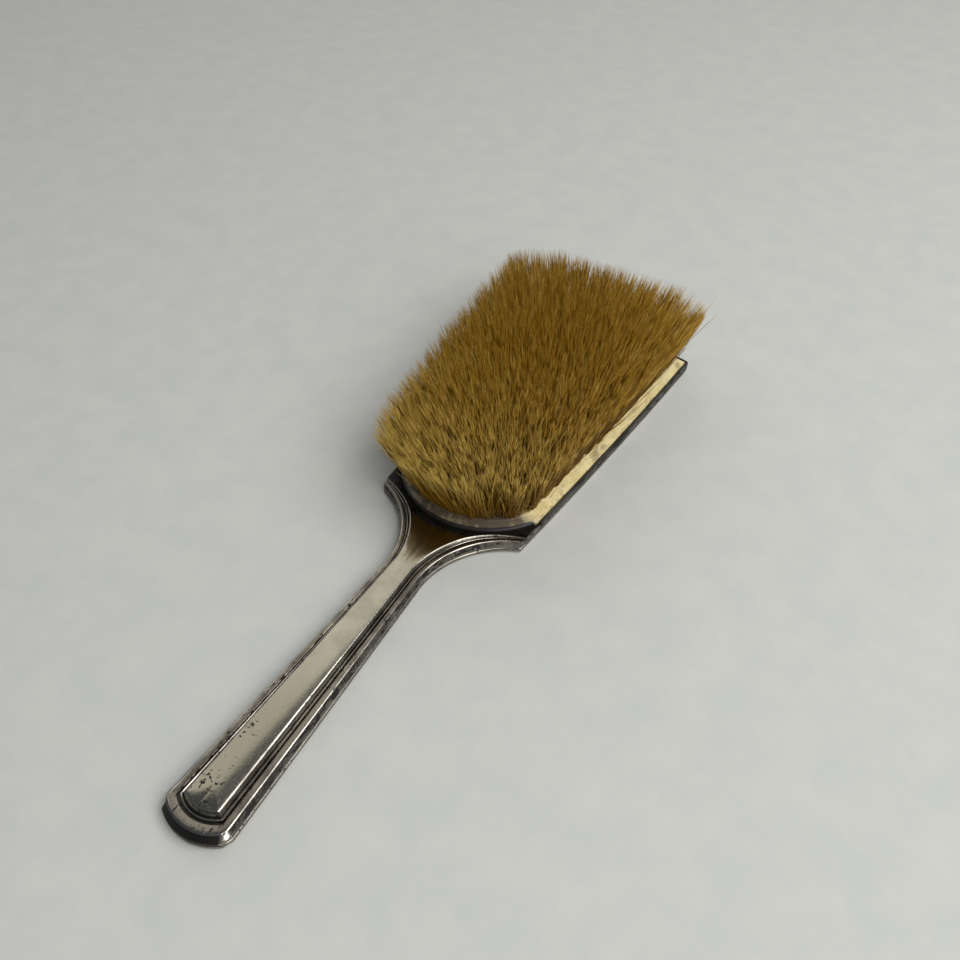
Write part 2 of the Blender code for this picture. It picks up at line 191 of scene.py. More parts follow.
def head_path(start, inset):
    """The head's side and far end, moved in by inset, after this start."""
    centre_x = LENGTH - FAR_RADIUS
    radius = FAR_RADIUS - inset
    corner = where_side_meets(centre_x, radius, inset, 1)
    angle = math.asin(corner[1] / radius)
    side = [(x, side_y(x, inset)) for (x,) in between(start[:1], corner[:1], SIDE_STEPS)]
    return side + arc(centre_x, radius, angle, 0.0, FAR_STEPS)[1:]


BOARD_END_RADIUS = bow_radius(side_y(APEX + BOARD_END_BOW, RIM_WIDTH), BOARD_END_BOW)
BOARD_END_CENTRE = APEX + BOARD_END_RADIUS


def board_path(inset, end_steps):
    """Half of the board's outline, moved in by inset from the inside of the rim's outline."""
    radius = BOARD_END_RADIUS - inset
    start = where_side_meets(BOARD_END_CENTRE, radius, RIM_WIDTH + inset, -1)
    angle = math.pi - math.asin(start[1] / radius)
    points = arc(BOARD_END_CENTRE, radius, math.pi, angle, end_steps)
    return points + head_path(start, RIM_WIDTH + inset)


def lift(path, height):
    """A flat path at this height."""
    return [(x, y, height) for x, y in path]


# ---------------------------------------------------------------- meshes


def place_points(points):
    """Millimetres from the butt become metres in the frame."""
    moved = np.array(points, float)
    moved[:, 0] += BUTT_X
    return moved * MM


def new_skin():
    """A half skin that is still being made: its points, its faces and each face's finish."""
    return {"points": [], "faces": [], "finish": []}


def stitch(skin, rows, finish_of):
    """Quads between neighbouring rows of points. Each takes the finish for its strip and its middle."""
    count = len(rows[0])
    first = len(skin["points"])
    for row in rows:
        skin["points"].extend(row)
    for strip in range(len(rows) - 1):
        for i in range(count - 1):
            corners = (rows[strip][i], rows[strip][i + 1], rows[strip + 1][i + 1], rows[strip + 1][i])
            middle = [sum(values) / 4 for values in zip(*corners)]
            low = first + strip * count + i
            skin["faces"].append((low, low + 1, low + 1 + count, low + count))
            skin["finish"].append(finish_of(strip, *middle))


def both_halves(skin, name, finishes, up):
    """An object from a half skin and its mirror image. Its outermost faces look up, or down without up."""
    points = place_points(skin["points"])
    shape = bmesh.new()
    for sign in (1, -1):
        verts = [shape.verts.new((x, sign * y, z)) for x, y, z in points]
        for corners, finish in zip(skin["faces"], skin["finish"]):
            face = shape.faces.new([verts[i] for i in corners])
            face.material_index = list(finishes).index(finish)
            face.smooth = True
    bmesh.ops.remove_doubles(shape, verts=shape.verts, dist=MERGE * MM)
    bmesh.ops.dissolve_degenerate(shape, edges=shape.edges, dist=MERGE * MM)
    bmesh.ops.recalc_face_normals(shape, faces=shape.faces)
    for edge in shape.edges:
        edge.smooth = len(edge.link_faces) != 2 or edge.calc_face_angle() < CREASE
    ends = sorted(shape.faces, key=lambda face: face.calc_center_median().z)
    outermost = ends[-1] if up else ends[0]
    if (outermost.normal.z > 0) != up:
        bmesh.ops.reverse_faces(shape, faces=shape.faces)
    mesh = bpy.data.meshes.new(name)
    shape.to_mesh(mesh)
    shape.free()
    return finish_piece(name, mesh, finishes.values())


def finish_piece(name, mesh, materials):
    """Links a mesh as a piece that rides on the brush."""
    made = bpy.data.objects.new(name, mesh)
    bpy.context.scene.collection.objects.link(made)
    for material in materials:
        mesh.materials.append(material)
    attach(made, "root")
    return made


def thicken(piece, wall):
    """Gives a skin its thickness, behind the surface that is drawn."""
    solid = piece.modifiers.new("wall", "SOLIDIFY")
    solid.thickness = wall * MM
    solid.offset = -1.0
    return piece


# ---------------------------------------------------------------- materials


def linear(colour):
    """An sRGB hex colour as the linear RGBA that a shader takes."""
    parts = [int(colour[i : i + 2], 16) / 255 for i in (1, 3, 5)]
    return (*(c / 12.92 if c <= 0.04045 else ((c + 0.055) / 1.055) ** 2.4 for c in parts), 1.0)


def node(tree, kind, settings=None, inputs=None, ramp=None):
    """Adds one node. An input is a value, a colour such as "#c0b8a8", or the output that feeds it."""
    made = tree.nodes.new("ShaderNode" + kind)
    for name, value in (settings or {}).items():
        setattr(made, name, value)
    for name, value in (inputs or {}).items():
        socket = made.inputs[name]
        if isinstance(value, bpy.types.NodeSocket):
            tree.links.new(value, socket)
        else:
            socket.default_value = linear(value) if isinstance(value, str) else value
    if ramp:
        elements = made.color_ramp.elements
        while len(elements) < len(ramp):
            elements.new(1.0)
        for element, (place, colour) in zip(elements, ramp):
            element.position = place
            element.color = linear(colour)
    return made


def per_mm(size):
    """The scale at which a texture's features are this many millimetres across."""
    return 1 / (size * MM)


def new_material(name, **shader_inputs):
    """A material with a Principled shader, and its tree."""
    made = bpy.data.materials.new(name)
    made.use_nodes = True
    shader = made.node_tree.nodes["Principled BSDF"]
    for key, value in shader_inputs.items():
        socket = shader.inputs[key.replace("_", " ")]
        socket.default_value = linear(value) if isinstance(value, str) else value
    return made, made.node_tree, shader


def blend(tree, share, first, second):
    """A colour between two, by a share."""
    mixed = node(tree, "Mix", {"data_type": "RGBA"}, {0: share, 6: first, 7: second})
    return mixed.outputs[2]


def noise(tree, place, size, detail=4.0, roughness=0.6, distortion=0.0):
    """A noise value whose blotches are this many millimetres across."""
    inputs = {
        "Vector": place,
        "Scale": per_mm(size),
        "Detail": detail,
        "Roughness": roughness,
        "Distortion": distortion,
    }
    return node(tree, "TexNoise", None, inputs).outputs["Fac"]


def ramped(tree, value, low, high, to_low=0.0, to_high=1.0):
    """A value moved smoothly from one range to another."""
    inputs = {0: value, 1: low, 2: high, 3: to_low, 4: to_high}
    return node(tree, "MapRange", {"interpolation_type": "SMOOTHSTEP"}, inputs).outputs[0]


def between_places(tree, x, start, end, to_start, to_end):
    """A value moved smoothly along the brush, between two distances from the butt in millimetres."""
    return ramped(tree, x, (BUTT_X + start) * MM, (BUTT_X + end) * MM, to_start, to_end)


def roughen(tree, shader, height, strength, depth):
    """Shades a fine relief, this many millimetres deep."""
    bump = node(tree, "Bump", None, {"Strength": strength, "Distance": depth * MM, "Height": height})
    tree.links.new(bump.outputs[0], shader.inputs["Normal"])


def maths(tree, operation, first, second, clamp=False):
    """One sum of two values."""
    settings = {"operation": operation, "use_clamp": clamp}
    return node(tree, "Math", settings, {0: first, 1: second}).outputs[0]


def object_place(tree):
    """The place on the brush, in metres, that patterns are laid out by."""
    return node(tree, "TexCoord").outputs["Object"]


def stretched(tree, place, x, y, z):
    """The place with each axis scaled, so that a pattern is drawn out along the smallest."""
    return node(tree, "Mapping", None, {"Vector": place, "Scale": (x, y, z)}).outputs[0]


BLACK_LEVELS = ((0.0, 0.05, 0.2, 0.5, 1.0), (1.10, 0.985, 0.90, 0.79, 0.30))  # share of black, noise level
BLACK_EDGE = 0.035  # how softly black ends, in noise level
SCRATCH_SIZE = 0.35
DENT_SIZE = 2.6
DENT_DEPTH = 0.05
CLOUD_SIZE = 9.0


def plated_silver(name, colour, dull, roughness, tarnish, spots, spot_size, streak=1.0, butt_pits=0.0):
    """Silver plate on stamped brass. Polishing leaves it bright, with hairline scratches, which are drawn
    coarser than the real ones so that they show. Air turns it yellow-grey in soft clouds, and black sulphide
    grows in pits and short streaks where it isn't rubbed. tarnish is the share of cloud, spots the share of
    black, spot_size a spot's size, and streak draws spots out along the brush where it is below 1. butt_pits
    is how much more of the surface is pitted towards the butt."""
    made, tree, shader = new_material(name, Metallic=1.0, Roughness=roughness)
    place = object_place(tree)
    split = node(tree, "SeparateXYZ", None, {0: place})
    x, y = split.outputs[0], split.outputs[1]
    along = stretched(tree, place, streak, 1.0, 1.0)
    cloud = ramped(tree, noise(tree, place, CLOUD_SIZE, 6.0), 0.35, 0.70, 0.0, tarnish)
    to_head = between_places(tree, x, NECK + 4, HEAD_START, 0.0, 0.8)
    to_head = maths(tree, "MULTIPLY", to_head, ramped(tree, y, -4 * MM, 4 * MM, 0.15, 1.0))
    at_butt = between_places(tree, x, 30, 75, min(0.7, 6 * butt_pits), 0.0)
    cloud = maths(tree, "MAXIMUM", cloud, maths(tree, "MAXIMUM", to_head, at_butt))
    grain = noise(tree, along, spot_size, 3.0, 0.55, 0.4)
    where = noise(tree, place, spot_size * 7, 2.0)
    level = maths(tree, "ADD", grain, maths(tree, "MULTIPLY", where, 0.55))
    level = maths(tree, "ADD", level, between_places(tree, x, 8, 62, butt_pits, 0.0))
    edge = float(np.interp(spots, *BLACK_LEVELS))
    black = ramped(tree, level, edge, edge + BLACK_EDGE)
    clean = blend(tree, cloud, colour, dull)
    tree.links.new(blend(tree, black, clean, "#15110d"), shader.inputs["Base Color"])
    metal = maths(tree, "SUBTRACT", 1.0, maths(tree, "MULTIPLY", black, 0.75))
    tree.links.new(metal, shader.inputs["Metallic"])
    hairline = noise(tree, stretched(tree, place, 0.12, 1.0, 1.0), SCRATCH_SIZE, 2.0)
    rough = ramped(tree, hairline, 0.3, 0.7, roughness * 0.85, roughness * 1.2)
    rough = maths(tree, "ADD", rough, maths(tree, "MULTIPLY", cloud, 0.08))
    rough = maths(tree, "ADD", rough, maths(tree, "MULTIPLY", black, 0.35))
    tree.links.new(rough, shader.inputs["Roughness"])
    dents = maths(tree, "SUBTRACT", noise(tree, place, DENT_SIZE, 3.0), maths(tree, "MULTIPLY", black, 1.2))
    roughen(tree, shader, dents, 0.35, DENT_DEPTH)
    return made


def make_materials():
    """Every finish on the brush, by the name that its maker would use."""
    made = {}
    # The rubbed middle of the handle: satin, faintly warm, with black pits that crowd towards the butt.
    made["panel"] = plated_silver("satin_silver_panel", "#c9c4b2", "#a29c8b", 0.15, 0.6, 0.02, 1.2, 1.3, 0.20)
    # The flat of the border, duller, with dark streaks along it.
    made["band"] = plated_silver("dull_silver_border", "#a39d91", "#655e54", 0.25, 0.9, 0.16, 0.7, 0.3, 0.05)
    # Edges that hands rub bright, mirror-like and narrow, so that they read as thin light lines.
    made["ridge"] = plated_silver("bright_silver_edge", "#c4bfb4", "#7d776f", 0.19, 1.0, 0.14, 0.7, 0.25)
    # The short slope between the ridge and the panel, dull and streaked.
    made["step"] = plated_silver("dull_silver_step", "#8e897e", "#4e4942", 0.25, 0.9, 0.24, 0.6, 0.25)
    # The sloping side of the border, where tarnish has grown into patches.
    made["chamfer"] = plated_silver("patched_silver_slope", "#8f8980", "#4a453e", 0.24, 0.8, 0.50, 1.0, 0.4)
    # The upright edge above the seam, satin and a little clouded.
    made["wall"] = plated_silver("silver_side", "#9d978d", "#6a645b", 0.22, 0.7, 0.14, 0.6, 0.4)
    # Dirt and sulphide packed into the stamped lines, darkened further with painted shade in these grooves:
    # nearly black and dull, which draws the border's lines.
    made["groove"] = plated_silver("blackened_shaded_groove", "#484239", "#1d1915", 0.38, 0.9, 0.4, 0.8, 0.3)
    # The lip round the board's near end, and the spandrels beside the board: black with grime and with painted
    # shade beside the board, rubbed through in a few specks.
    made["lip"] = plated_silver("blackened_shaded_lip", "#57504a", "#0d0b09", 0.22, 1.0, 0.56, 0.6)
    # The butt's end face, near black and glossy.
    made["butt"] = plated_silver("near_black_butt", "#1f1c19", "#100e0c", 0.08, 0.9, 1.0, 1.4)
    # The head's narrow rim, nearly black, rubbed through to grey metal in places.
    made["rim"] = plated_silver("tarnished_silver_rim", "#5c5750", "#1c1916", 0.28, 0.6, 0.50, 1.4, 0.3)
    # The stamped back, satin with brown clouds.
    made["back"] = plated_silver("satin_silver_back", "#c3bcad", "#857a6a", 0.28, 0.9, 0.06, 1.2)
    return made


def lacquered_board():
    """Cream-lacquered board: smooth, a little glossy and yellowed. Its near end is painted brown, partly grime
    rubbed in and partly painted shade from the bristle that overhangs it, and its edge there is painted black,
    partly grime and partly painted shade in the crease beside the metal. It has fine dark lines drawn along
    it, and a few black specks."""
    made, tree, shader = new_material("cream_lacquered_board", Roughness=0.38)
    shader.inputs["Coat Weight"].default_value = 0.15
    place = object_place(tree)
    x = node(tree, "SeparateXYZ", None, {0: place}).outputs[0]
    centre = ((BUTT_X + BOARD_END_CENTRE) * MM, 0.0, 0.0)
    flat = node(tree, "VectorMath", {"operation": "MULTIPLY"}, {0: place, 1: (1.0, 1.0, 0.0)}).outputs[0]
    from_centre = node(tree, "VectorMath", {"operation": "DISTANCE"}, {0: flat, 1: centre}).outputs["Value"]
    radius = BOARD_END_RADIUS * MM
    # The board's edge at its near end is painted black: partly grime, partly painted shade in the crease
    # beside the metal's lip.
    edge = ramped(tree, from_centre, radius - 1.6 * MM, radius - 0.5 * MM)
    at_end = between_places(tree, x, APEX + 12, APEX + 17, 1.0, 0.0)
    edge = maths(tree, "MULTIPLY", edge, at_end)
    # The board's near end is painted brown: partly grime rubbed in, partly painted shade where the bristle
    # overhangs it.
    near = ramped(tree, from_centre, radius - 9 * MM, radius - 4 * MM)
    near = maths(tree, "MULTIPLY", near, at_end)
    cloud = noise(tree, place, 5.0, 6.0, 0.65)
    grime_and_shade = maths(tree, "MULTIPLY", near, ramped(tree, cloud, 0.25, 0.6, 0.55, 1.1), True)
    patches = ramped(tree, noise(tree, stretched(tree, place, 0.5, 1.0, 1.0), 3.4, 5.0), 0.56, 0.66, 0.0, 0.5)
    lacquer = blend(tree, ramped(tree, cloud, 0.35, 0.65), "#e4d49e", "#d0bd84")
    soiled_and_shaded = blend(tree, maths(tree, "MAXIMUM", grime_and_shade, patches), lacquer, "#5d5040")
    # Fine dark lines drawn along the board, and dented a little into its face.
    line_noise = noise(tree, stretched(tree, place, 0.35, 2.2, 1.0), 0.7, 2.0, 0.5, 0.8)
    lines = ramped(tree, line_noise, 0.66, 0.70, 0.0, 0.7)
    soiled_and_shaded = blend(tree, lines, soiled_and_shaded, "#5a4a2c")
    specks = node(tree, "TexVoronoi", None, {"Vector": place, "Scale": per_mm(3.2)}).outputs["Distance"]
    soiled_and_shaded = blend(tree, ramped(tree, specks, 0.05, 0.10, 1.0, 0.0), soiled_and_shaded, "#241b12")
    black_edge_grime_and_shade = maths(tree, "ADD", edge, maths(tree, "SUBTRACT", cloud, 0.5))
    soiled_and_shaded = blend(tree, ramped(tree, black_edge_grime_and_shade, 0.35, 0.55), soiled_and_shaded, "#19140f")
    tree.links.new(soiled_and_shaded, shader.inputs["Base Color"])
    tree.links.new(maths(tree, "ADD", 0.34, maths(tree, "MULTIPLY", grime_and_shade, 0.3)), shader.inputs["Roughness"])
    height = maths(tree, "SUBTRACT", cloud, maths(tree, "MULTIPLY", lines, 0.8))
    roughen(tree, shader, height, 0.4, 0.12)
    return made


def boar_bristle():
    """Natural boar bristle, washed and trimmed: olive straw at its tip, softly shiny, and darker, warmer amber
    towards its root.
    The darker root is partly the bristle's own colour and partly painted shade and a painted glow of light
    through the bristle, deep in the field.
    """
    made, tree, shader = new_material("boar_bristle", Roughness=0.42)
    shader.inputs["IOR"].default_value = 1.55
    shader.inputs["Specular IOR Level"].default_value = 0.12
    place = node(tree, "UVMap", {"uv_map": SHADES}).outputs[0]
    split = node(tree, "SeparateXYZ", None, {0: place})
    shade, along = split.outputs[0], split.outputs[1]
    # The root colours are darker and warmer than the tips: the bristle's own colour, with painted shade and a
    # painted glow of light through the bristle deep in the field.
    root = node(tree, "ValToRGB", None, {0: shade}, ((0.0, "#3f2301"), (0.5, "#704502"), (1.0, "#a87d2a")))
    tip = node(tree, "ValToRGB", None, {0: shade}, ((0.0, "#694402"), (0.5, "#926b08"), (1.0, "#d4b762")))
    reach = ramped(tree, along, 0.45, 1.0)
    tree.links.new(blend(tree, reach, root.outputs[0], tip.outputs[0]), shader.inputs["Base Color"])
    return made


def pale_floor():
    """Matt pale paper board: faintly mottled, with no shine."""
    made, tree, shader = new_material("matt_pale_board", Roughness=0.9)
    shader.inputs["Specular IOR Level"].default_value = 0.1
    place = object_place(tree)
    mottle = ramped(tree, noise(tree, place, 14.0, 5.0), 0.3, 0.7)
    tree.links.new(blend(tree, mottle, "#c6c8c4", "#cccdc8"), shader.inputs["Base Color"])
    return made


def hidden_finishes():
    """What the brush holds inside: gritty dark cement, and a drawn steel rod with a film of rust."""
    cement, tree, shader = new_material("setting_cement", Roughness=0.85)
    grit = ramped(tree, noise(tree, object_place(tree), 0.8, 6.0, 0.7), 0.3, 0.7)
    tree.links.new(blend(tree, grit, "#2c2019", "#5c4838"), shader.inputs["Base Color"])
    roughen(tree, shader, grit, 0.5, 0.1)
    steel, tree, shader = new_material("drawn_steel_rod", Metallic=1.0, Roughness=0.35)
    drawn = noise(tree, stretched(tree, object_place(tree), 0.05, 1.0, 1.0), 0.3, 3.0)
    rust = ramped(tree, noise(tree, object_place(tree), 2.5, 5.0), 0.5, 0.7)
    metal = blend(tree, ramped(tree, drawn, 0.3, 0.7), "#83837f", "#9a9a96")
    tree.links.new(blend(tree, rust, metal, "#5d3d28"), shader.inputs["Base Color"])
    return cement, steel


# ---------------------------------------------------------------- the metal

# The stamped border's section at the handle, from the seam up to the panel's edge: the share of the half
# width, the height, and the finish of the strip that follows. Rounded edges catch the light.
BORDER_SECTION = (
    (1.000, FRONT_BASE, "wall"),
    (1.000, 3.00, "wall"),
    (0.996, 3.12, "chamfer"),
    (0.988, 3.24, "chamfer"),
    (0.898, 4.56, "ridge"),
    (0.884, 4.73, "ridge"),
    (0.866, 4.85, "ridge"),
    (0.844, 4.90, "band"),
    (0.720, 4.86, "band"),
    (0.706, 4.78, "groove"),
    (0.698, 4.48, "groove"),
    (0.654, 4.44, "groove"),
    (0.648, 4.70, "ridge"),
    (0.644, 4.98, "ridge"),
    (0.632, 5.13, "ridge"),
    (0.614, 5.17, "ridge"),
    (0.598, 5.06, "groove"),
    (0.592, 4.80, "groove"),
    (0.582, 4.76, "groove"),
    (0.568, 4.90, "step"),
    (0.556, 5.34, "step"),
    (0.540, 5.72, "step"),
    (0.518, 6.04, "step"),
    (0.498, 6.26, "ridge"),
    (0.480, 6.42, "ridge"),
    (0.460, 6.50, "panel"),
)
BORDER_HEIGHT = 4.9  # above this, a ridge flattens out along the shoulder
PANEL_EDGE_HEIGHT = BORDER_SECTION[-1][1]
SHOULDER_KEEP = 0.14  # the share of that extra height which is left at the head
SHOULDER_PINCH = 0.35  # how much narrower the border gets towards the head's corner
CORNER_CLIP = 1.7
CLIP_END = 0.84  # the share of the half width where the clipped corner ends
OPENING_GAP = 0.12
LIP_REACH = 3.4
LIP_DROP = 0.9
LIP_CURVE = 1.4
LIP_BLACK_SHARE = 0.04  # how far into the lip its black begins
SPANDREL_REACH = 3.0  # how far before the head its black begins
BLACK_HALF_WIDTH = 0.88 * BUTT_WIDTH / 2 + 0.6  # of the butt's black face, at x = 0
BLACK_NARROWING = 0.3
PLATE_WALL = 0.5
FRONT_FINISHES = ("panel", "band", "ridge", "chamfer", "wall", "groove", "step", "lip", "butt")


def front_rows():
    """The stepped border's rows, each from the middle of the butt to the head's side."""
    rows = []
    for share, height, _ in BORDER_SECTION:
        clip = CORNER_CLIP * max(0.0, (share - CLIP_END) / (1 - CLIP_END)) ** 0.7
        row = lift(handle_path(share, clip), height)
        low = min(height, BORDER_HEIGHT)
        head_height = low + (height - low) * SHOULDER_KEEP
        for i, (x, y) in enumerate(shoulder_path(share, 0.0, SHOULDER_PINCH), 1):
            fade = i / SHOULDER_STEPS
            row.append((x, y, height + fade * (head_height - height)))
        rows.append(row)
    return rows


def panel_middle(edge):
    """The panel's other edge, point for point: the middle line up to the board's opening, then round that.
    The crown is a fixed share of the panel's width."""
    corner, neck = BUTT_STEPS + 1, BUTT_STEPS + 1 + HANDLE_STEPS
    crown = (PANEL_TOP - PANEL_EDGE_HEIGHT) / edge[corner][1]
    start_x, hip_x = edge[0][0], edge[corner][0] + edge[corner][1]
    middle = []
    for share in (c / corner for c in range(corner + 1)):
        rise = math.sin(share * math.pi / 2) * crown * edge[corner][1]
        middle.append((start_x + share * (hip_x - start_x), 0.0, PANEL_EDGE_HEIGHT + rise))
    for i in range(corner + 1, neck + 1):
        x = hip_x + (i - corner) / HANDLE_STEPS * (NECK - hip_x)
        middle.append((x, 0.0, PANEL_EDGE_HEIGHT + crown * edge[i][1]))
    neck_top = middle[-1][2]
    round_steps = SHOULDER_STEPS - APEX_STEP
    opening = lift(board_path(-OPENING_GAP, round_steps)[: round_steps + 1], RIM_TOP)
    for share in (c / APEX_STEP for c in range(1, APEX_STEP)):
        x = NECK + share * (opening[0][0] - NECK)
        middle.append((x, 0.0, neck_top + share**2 * (RIM_TOP - neck_top)))
    return middle + opening


def lip_share(x, y):
    """How far into the lip round the board's near end a point is: 0 outside it, 1 at the opening."""
    away = abs(math.hypot(x - BOARD_END_CENTRE, y) - BOARD_END_RADIUS - OPENING_GAP)
    return max(0.0, 1 - away / LIP_REACH) if x < BOARD_END_CENTRE else 0.0


def panel_rows(edge):
    """The crowned panel, as rows from its edge to the middle. It turns down in a lip round the board."""
    middle = panel_middle(edge)
    rows = []
    for step in range(CROWN_STEPS + 1):
        inward = step / CROWN_STEPS
        rise = 1 - (1 - inward) ** 2
        row = []
        for a, b in zip(edge, middle):
            x, y = a[0] + inward * (b[0] - a[0]), a[1] + inward * (b[1] - a[1])
            row.append((x, y, a[2] + rise * (b[2] - a[2]) - LIP_DROP * lip_share(x, y) ** LIP_CURVE))
        rows.append(row)
    return rows


def border_finish(strip, x, y, z):
    """A border strip's finish. At the butt its outer face is black, and its clipped corners are bright."""
    finish = BORDER_SECTION[strip][2]
    if x > BUTT_BOW + CORNER_CLIP or finish not in ("wall", "chamfer"):
        return finish
    clipped_corner = y >= BLACK_HALF_WIDTH - BLACK_NARROWING * x
    return "ridge" if clipped_corner else "butt"


def panel_finish(strip, x, y, z):
    """The panel's finish: black, for grime and painted shade, on the lip and on the spandrels beside the
    board.
    """
    on_spandrel = x > HEAD_START - SPANDREL_REACH
    return "lip" if lip_share(x, y) > LIP_BLACK_SHARE or on_spandrel else "panel"


def make_front_plate(finishes):
    """The handle's stamped front: stepped border, crowned panel and the spandrels beside the board."""
    skin = new_skin()
    rows = front_rows()
    stitch(skin, rows, border_finish)
    panel = panel_rows(rows[-1])
    stitch(skin, panel, panel_finish)
    ends = [row[-1] for row in panel]
    side_end = (ends[-1][0], side_y(ends[-1][0], 0.0), ends[-1][2])
    tops = [row[-1] for row in rows] + [side_end]
    stitch(skin, [[(x, y, FRONT_BASE) for x, y, _ in tops], tops], lambda *_: "chamfer")
    for near, far in zip(ends, ends[1:]):
        corner = len(skin["points"])
        skin["points"].extend((near, side_end, far))
        skin["faces"].append((corner, corner + 1, corner + 2))
        skin["finish"].append("lip")
    used = {name: finishes[name] for name in FRONT_FINISHES}
    piece = both_halves(skin, "stamped_front", used, up=True)
    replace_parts(thicken(piece, PLATE_WALL), "front_shell")


BACK_EDGE_HEIGHT = 1.0
BACK_ROUND_SHARE = 0.16  # how much of the dome its rounded edge takes
DOME_INSET = 14.0


def make_back_plate(finishes):
    """The stamped back: flat in the middle, with a rounded edge that rises to the seam."""
    rows = [(1.0, 0.0, BACK_TOP), (1.0, 0.0, BACK_EDGE_HEIGHT)]
    for share in np.linspace(0.06, 1.0, 14):
        turned = min(1.0, share / BACK_ROUND_SHARE)
        height = BACK_EDGE_HEIGHT * (1 - 0.62 * math.sin(turned * math.pi / 2)) * (1 - share) ** 1.5
        rows.append((1 - 0.6 * share, DOME_INSET * share**1.6, height))
    skin = new_skin()
    lines = []
    for share, inset, height in rows:
        shoulder = shoulder_path(share, inset, 0.0)
        path = handle_path(share, CORNER_CLIP if share > 0.97 else CORNER_CLIP * share**2)
        lines.append(lift(path + shoulder + head_path(shoulder[-1], inset), height))
    lines.append([(x, 0.0, z) for x, _, z in lines[-1]])
    stitch(skin, lines, lambda strip, *_: "back" if strip else "wall")
    used = {name: finishes[name] for name in ("wall", "back")}
    piece = both_halves(skin, "stamped_back", used, up=False)
    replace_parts(thicken(piece, PLATE_WALL), "back_shell")


# The rim's section, from its foot up its outer side and down its inner side: the inset and the height.
RIM_FOOT = (0.02, FRONT_BASE - 0.1)
RIM_SECTION = (
    RIM_FOOT,
    (0.0, 2.9),
    (-0.12, 3.8),
    (0.0, 4.7),
    (0.12, 4.98),
    (0.3, RIM_TOP),
    (0.5, 5.02),
    (0.58, 4.8),
    (0.6, FRONT_BASE),
    RIM_FOOT,
)
RIM_END_STEPS = 4
RIM_END_GAP = 0.05


def make_rim(finishes):
    """The head's rim: an upright strip with a rounded top that holds the board's edge."""
    start_x = board_path(-OPENING_GAP, RIM_END_STEPS)[RIM_END_STEPS][0] + RIM_END_GAP
    rows = []
    for inset, height in RIM_SECTION:
        start = (start_x, side_y(start_x, inset))
        rows.append(lift([start, *head_path(start, inset)], height))
    skin = new_skin()
    stitch(skin, rows, lambda *_: "rim")
    piece = both_halves(skin, "head_rim_strip", {"rim": finishes["rim"]}, up=True)
    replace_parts(piece, "head_rim")


# ---------------------------------------------------------------- the board


# The board's section, from its underside up its worn bevel, past a scored line, to its face: the inset and
# the height.
BOARD_SECTION = (
    (0.10, BOARD_BOTTOM),
    (0.10, 4.45),
    (0.16, 4.72),
    (0.34, 4.95),
    (0.60, 5.10),
    (1.3, 5.42),
    (2.2, 5.80),
    (2.9, 6.06),
    (3.05, 6.02),
    (3.2, 6.16),
    (3.9, 6.42),
    (4.5, 6.55),
    (5.2, BOARD_TOP),
)
BOARD_END_STEPS = 40


def make_board():
    """The board: a flat field inside a worn, rounded bevel."""
    rows = [lift(board_path(inset, BOARD_END_STEPS), height) for inset, height in BOARD_SECTION]
    rows.append([(x, 0.0, z) for x, _, z in rows[-1]])
    rows.insert(0, [(x, 0.0, z) for x, _, z in rows[0]])
    skin = new_skin()
    stitch(skin, rows, lambda *_: "board")
    piece = both_halves(skin, "cream_board", {"board": lacquered_board()}, up=True)
    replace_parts(piece, "brush_board")


# ---------------------------------------------------------------- the bristle

STRANDS_PER_KNOT = 230
LOOSE_SHARE = 0.4  # of the strands, those that fill in between the knots
LOCKS_PER_KNOT = 40
LOCK_SPREAD = 0.33
LOOSE_SPREAD = 1.5
STRAY_SHARE = 0.012
STRAY_SPREAD = 3.5
SHORT_SHARE = 0.08
SHORT_BY = (1.0, 6.0)
LOCK_REACH = ((0.0, 0.15, 0.4), (4.1, 4.4, 5.0))  # share of the way from the near end, how far locks spread
BOW_SPREAD = 0.45
FLICK_SPREAD = 0.3
LOCK_DROP = 0.6
STRAND_DROP = 0.7
ROOT_SPREAD = 2.1
ROOT_MARGIN = 3.8
ROOT_END_GAP = 0.1
ROOT_DEPTH = 0.5  # how far a strand starts below the board's face
TIP_ROOM = 0.3  # how far the longest strand ends below the solids' tips
TIP_HALF_LENGTH = 67.0
TIP_HALF_WIDTH = 33.5  # at TIP_WIDTH_PLACE past the head's start
TIP_WIDTH_PLACE = 19.0
TIP_FLARE = 0.098
OUTLINE_POWER = 6  # how square the trimmed outline's corners are
TRIM_SPREAD = 0.015
STRAND_RINGS = 5
STRAND_SIDES = 3
STRAND_RADIUS = 0.12  # a little stouter than real bristle, so that each strand shows
STRAND_TAPER = 0.62
MIDDLE_SHADE = 0.34
EDGE_PALER = 0.16
NEAR_END_PALER = 0.44
LOCK_SHADE_SPREAD = 0.08
STRAND_SHADE_SPREAD = 0.17
SHADE_REACH = (66.0, 42.0)  # along and across, where the field's edge has its full extra shade
SHADE_WIDTH = 0.006  # how wide a strand is in the shade map
FIRST_SEED = 100
ROWS = len(ROW_NODES)


def field_half_width(x, margin):
    """How far out from the middle line a root may be, at this distance along the board."""
    past_side = side_y(x, RIM_WIDTH + margin)
    to_far_arc = x - (LENGTH - FAR_RADIUS)
    past_far = math.sqrt(max(0.0, (FAR_RADIUS - RIM_WIDTH - margin) ** 2 - to_far_arc**2))
    to_near_arc = BOARD_END_CENTRE - x
    if to_near_arc < 0:
        return min(past_side, past_far)
    return min(past_side, past_far, math.sqrt(max(0.0, (BOARD_END_RADIUS - margin) ** 2 - to_near_arc**2)))


